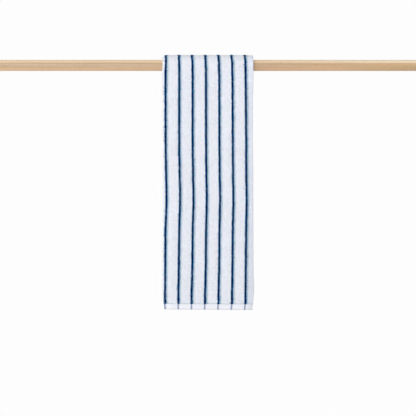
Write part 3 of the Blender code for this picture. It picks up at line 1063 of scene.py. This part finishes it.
def turnRod():
    bpy.ops.object.select_all(action="DESELECT")
    bpy.ops.mesh.primitive_cylinder_add(
        vertices=rod["sides"], radius=rod["diameter"] / 2 * mm, depth=rod["length"] * mm,
        rotation=(0, math.pi / 2, 0),
    )
    piece = bpy.context.active_object
    piece.name = "rod_beech"
    bpy.ops.object.transform_apply(location=True, rotation=True, scale=True)
    bpy.ops.object.mode_set(mode="EDIT")
    bpy.ops.mesh.select_all(action="DESELECT")
    bpy.ops.object.mode_set(mode="OBJECT")
    for edge in piece.data.edges:
        ends = [piece.data.vertices[corner].co.x for corner in edge.vertices]
        sameEnd = ends[0] * ends[1] > 0
        edge.select = sameEnd and min(map(abs, ends)) > (rod["length"] / 2 - 0.01) * mm
    bpy.ops.object.mode_set(mode="EDIT")
    bpy.ops.mesh.select_mode(type="EDGE")
    bpy.ops.mesh.bevel(offset=rod["chamfer"] * mm, segments=rod["chamferSteps"], affect="EDGES")
    bpy.ops.object.mode_set(mode="OBJECT")
    bpy.ops.object.shade_smooth_by_angle(angle=math.radians(rod["sharpAngle"]))
    piece.data.materials.clear()
    piece.data.materials.append(beech())
    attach(piece, "root")
    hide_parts("rod")


turnRod()
print("rod turned")


# Camera, light and floor

camera = {
    "distance": 5.0,  # from the towel's face
    "faceY": -0.028,
    "height": -0.3851,
    "seenWidth": 1.1174,  # of the plane of the face, in metres
    "sensor": 36.0,
    "farEnd": 100.0,
}
studio = {
    "backdrop": 0.985,
    "surround": 0.89,
    "surroundLean": (-0.35, 0.0, -0.3),  # how much stronger it is from the left and from below
    "keyPlace": (-2.0, -7.0, 0.7),
    "keyTarget": (0.0, 0.0, -0.3),
    "keySize": 3.2,
    "keyPower": 172.0,
    "floorHeight": -1.15,
    "floorFull": 0.5,  # the floor fades out between these distances, and shows only from above
    "floorGone": 1.2,
    "floorTone": 0.96,
    "floorRoughness": 0.9,
}


def aimed(obj, place, target):
    obj.location = place
    obj.rotation_euler = (Vector(target) - Vector(place)).to_track_quat("-Z", "Y").to_euler()
    bpy.context.scene.collection.objects.link(obj)
    return obj


def makeCamera():
    lens = bpy.data.cameras.new("view of the photograph")
    lens.sensor_width = camera["sensor"]
    lens.lens = camera["sensor"] * camera["distance"] / camera["seenWidth"]
    lens.clip_end = camera["farEnd"]
    place = (0, camera["faceY"] - camera["distance"], camera["height"])
    target = (0, 0, camera["height"])
    bpy.context.scene.camera = aimed(bpy.data.objects.new("camera", lens), place, target)


def makeLight():
    lamp = bpy.data.lights.new("key", "AREA")
    lamp.shape = "DISK"
    lamp.size = studio["keySize"]
    lamp.energy = studio["keyPower"]
    aimed(bpy.data.objects.new("key", lamp), studio["keyPlace"], studio["keyTarget"])
    world = bpy.data.worlds.new("white studio")
    bpy.context.scene.world = world
    world.use_nodes = True
    tree = world.node_tree
    tree.nodes.clear()
    seen = addNode(tree, "LightPath").outputs["Is Camera Ray"]
    way = addNode(tree, "TexCoord").outputs["Generated"]
    lean = addNode(tree, "VectorMath", {0: way, 1: studio["surroundLean"]}, operation="DOT_PRODUCT")
    even = studio["surround"]
    strength = addNode(tree, "Math", {0: lean, 1: even, 2: even}, operation="MULTIPLY_ADD")
    around = addNode(tree, "Background", {0: "#FFFFFF", 1: strength})
    behind = addNode(tree, "Background", {0: "#FFFFFF", 1: studio["backdrop"]})
    both = addNode(tree, "MixShader", {0: seen, 1: around, 2: behind})
    addNode(tree, "OutputWorld", {0: both})


def makeFloor():
    bpy.ops.object.select_all(action="DESELECT")
    bpy.ops.mesh.primitive_circle_add(vertices=64, radius=studio["floorGone"], fill_type="NGON",
                                      location=(0, 0, studio["floorHeight"]))
    floor = bpy.context.active_object
    floor.name = "floor"
    material, tree, shader = newMaterial("pale floor")
    connect(tree, shader, {
        "Base Color": (studio["floorTone"],) * 3 + (1.0,),
        "Roughness": studio["floorRoughness"],
    })
    place = addNode(tree, "TexCoord").outputs["Object"]
    far = addNode(tree, "VectorMath", {0: place}, operation="LENGTH")
    full, gone = studio["floorFull"], studio["floorGone"]
    share = addNode(tree, "MapRange", {0: far, 1: full, 2: gone}, **smooth)
    fromBelow = addNode(tree, "NewGeometry").outputs["Backfacing"]
    hidden = addNode(tree, "Math", {0: share, 1: fromBelow}, operation="MAXIMUM")
    faded = addNode(tree, "MixShader", {0: hidden, 1: shader, 2: addNode(tree, "BsdfTransparent")})
    connect(tree, tree.nodes["Material Output"], {0: faded})
    floor.data.materials.append(material)


makeCamera()
makeLight()
makeFloor()
bpy.context.scene.view_settings.view_transform = "Standard"
print("studio set")
